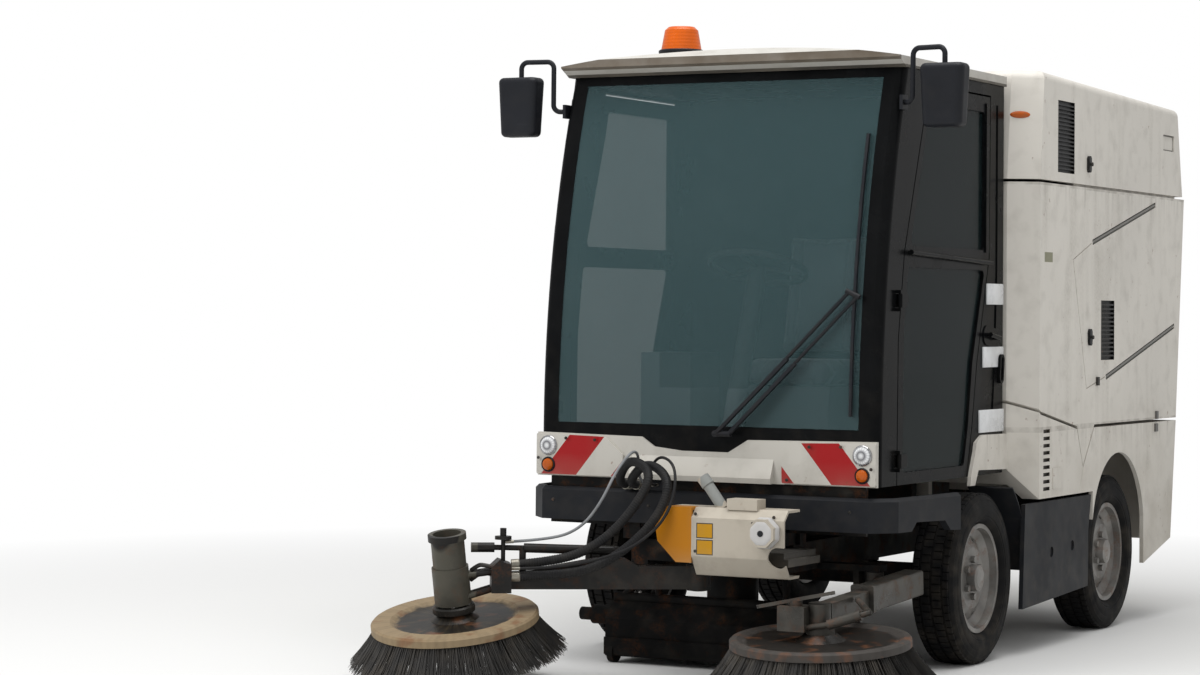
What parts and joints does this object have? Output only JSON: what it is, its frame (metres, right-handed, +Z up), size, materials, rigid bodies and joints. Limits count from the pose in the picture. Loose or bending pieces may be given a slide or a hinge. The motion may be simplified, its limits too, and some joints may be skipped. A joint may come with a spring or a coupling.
{
  "type": "compact street sweeper truck",
  "caption": "Compact road sweeper: steered wheels, black cab with raked windscreen, tipping hopper with lid and tailgate, side brush, suction nozzle, front brush on a swinging boom.",
  "frame": {"origin": "on the ground under the middle of the vehicle's box, in its centre plane", "axes": "-Y the way it drives, +X its left side, +Z up"},
  "size_m": [2.377, 4.8536, 2.767],
  "materials": {
    "frame_black": "satin",
    "rim_grey": "dusty satin",
    "tyre_rubber": "matte",
    "body_white": "dirty semi-gloss",
    "cab_black": "gloss",
    "clear_glass": "clear",
    "bumper_grey": "matte",
    "lamp_glass": "gloss",
    "amber": "gloss",
    "interior_grey": "matte",
    "seat_fabric": "woven",
    "mirror_black": "matte",
    "arm_grey": "worn",
    "plate_steel": "worn, some rust",
    "bristle_black": "matte",
    "nozzle_black": "matte",
    "hose_black": "matte",
    "engine_iron": "rough"
  },
  "bodies": {
    "chassis": {"chassis_frame": "frame_black", "axle_beams": "frame_black", "engine_block": "engine_iron", "cab_shell": "cab_black", "windscreen": "clear_glass", "cab_roof": "body_white", "front_fascia": "body_white", "front_lamps": "lamp_glass", "bumper": "bumper_grey", "cab_controls": "interior_grey", "seat": "seat_fabric", "mirrors": "mirror_black", "wiper": "mirror_black", "beacon_lens": "amber", "side_skirts": "bumper_grey", "engine_housing": "body_white", "rear_panels": "body_white", "suction_nozzle": "nozzle_black", "arm_bracket": "body_white"},
    "left_door": {"door_left": "cab_black", "door_glass_left": "clear_glass"},
    "right_door": {"door_right": "cab_black", "door_glass_right": "clear_glass"},
    "hopper_body": {"hopper": "body_white"},
    "tailgate": {"rear_door": "body_white"},
    "lid": {"top_lid": "body_white"},
    "side_brush_arm": {"side_arm": "arm_grey"},
    "side_brush": {"side_brush_plate": "plate_steel", "side_brush_bristles": "bristle_black"},
    "boom": {"swing_boom": "arm_grey", "boom_hoses": "hose_black"},
    "arm_brush": {"arm_brush_plate": "plate_steel", "arm_brush_bristles": "bristle_black"},
    "steer_front_left": {"knuckle_front_left": "frame_black"},
    "wheel_front_left": {"rim_front_left": "rim_grey", "tyre_front_left": "tyre_rubber"},
    "steer_front_right": {"knuckle_front_right": "frame_black"},
    "wheel_front_right": {"rim_front_right": "rim_grey", "tyre_front_right": "tyre_rubber"},
    "steer_rear_left": {"knuckle_rear_left": "frame_black"},
    "wheel_rear_left": {"rim_rear_left": "rim_grey", "tyre_rear_left": "tyre_rubber"},
    "steer_rear_right": {"knuckle_rear_right": "frame_black"},
    "wheel_rear_right": {"rim_rear_right": "rim_grey", "tyre_rear_right": "tyre_rubber"}
  },
  "joints": [
    {"name": "steer_front_left", "type": "hinge", "parent": "chassis", "child": "steer_front_left", "pos_m": [0.64, -0.265, 0.368], "axis": [0, 0, 1], "range_deg": [-22, 22]},
    {"name": "spin_front_left", "type": "hinge", "parent": "steer_front_left", "child": "wheel_front_left", "pos_m": [0.7905, -0.265, 0.368], "axis": [1, 0, 0], "continuous": true},
    {"name": "steer_front_right", "type": "hinge", "parent": "chassis", "child": "steer_front_right", "pos_m": [-0.64, -0.265, 0.368], "axis": [0, 0, 1], "range_deg": [-22, 22]},
    {"name": "spin_front_right", "type": "hinge", "parent": "steer_front_right", "child": "wheel_front_right", "pos_m": [-0.7905, -0.265, 0.368], "axis": [1, 0, 0], "continuous": true},
    {"name": "steer_rear_left", "type": "hinge", "parent": "chassis", "child": "steer_rear_left", "pos_m": [0.64, 1.425, 0.368], "axis": [0, 0, 1], "range_deg": [-22, 22]},
    {"name": "spin_rear_left", "type": "hinge", "parent": "steer_rear_left", "child": "wheel_rear_left", "pos_m": [0.7905, 1.425, 0.368], "axis": [1, 0, 0], "continuous": true},
    {"name": "steer_rear_right", "type": "hinge", "parent": "chassis", "child": "steer_rear_right", "pos_m": [-0.64, 1.425, 0.368], "axis": [0, 0, 1], "range_deg": [-22, 22]},
    {"name": "spin_rear_right", "type": "hinge", "parent": "steer_rear_right", "child": "wheel_rear_right", "pos_m": [-0.7905, 1.425, 0.368], "axis": [1, 0, 0], "continuous": true},
    {"name": "left_door_open", "type": "hinge", "parent": "chassis", "child": "left_door", "pos_m": [0.804, -1.007, 1.2], "axis": [0, 0, -1], "range_deg": [0, 70]},
    {"name": "right_door_open", "type": "hinge", "parent": "chassis", "child": "right_door", "pos_m": [-0.804, -1.007, 1.2], "axis": [0, 0, 1], "range_deg": [0, 70]},
    {"name": "hopper_tip", "type": "hinge", "parent": "chassis", "child": "hopper_body", "pos_m": [0, 2.325, 0.978], "axis": [-1, 0, 0], "range_deg": [0, 50]},
    {"name": "tailgate_open", "type": "hinge", "parent": "hopper_body", "child": "tailgate", "pos_m": [0, 2.457, 2.112], "axis": [1, 0, 0], "range_deg": [0, 80]},
    {"name": "lid_open", "type": "hinge", "parent": "hopper_body", "child": "lid", "pos_m": [-0.935, 1.335, 2.113], "axis": [0, -1, 0], "range_deg": [0, 50]},
    {"name": "side_arm_swing", "type": "hinge", "parent": "chassis", "child": "side_brush_arm", "pos_m": [0.62, -0.825, 0.385], "axis": [0, 0, 1], "range_deg": [-6, 22]},
    {"name": "side_brush_spin", "type": "hinge", "parent": "side_brush_arm", "child": "side_brush", "pos_m": [0.72, -1.595, 0.232], "axis": [0, -0.075, 0.9972], "continuous": true},
    {"name": "boom_swing", "type": "hinge", "parent": "chassis", "child": "boom", "pos_m": [0.1, -1.435, 0.422], "axis": [0, 0, 1], "range_deg": [-12, 35], "deforming": ["boom_hoses"]},
    {"name": "arm_brush_spin", "type": "hinge", "parent": "boom", "child": "arm_brush", "pos_m": [-0.72503, -1.9894, 0.268], "axis": [0, -0.1959, 0.9806], "continuous": true}
  ],
  "couplings": [
    {"joint": "steer_front_right", "follows": "steer_front_left", "ratio": 1},
    {"joint": "steer_rear_left", "follows": "steer_front_left", "ratio": -1},
    {"joint": "steer_rear_right", "follows": "steer_front_left", "ratio": -1}
  ]
}
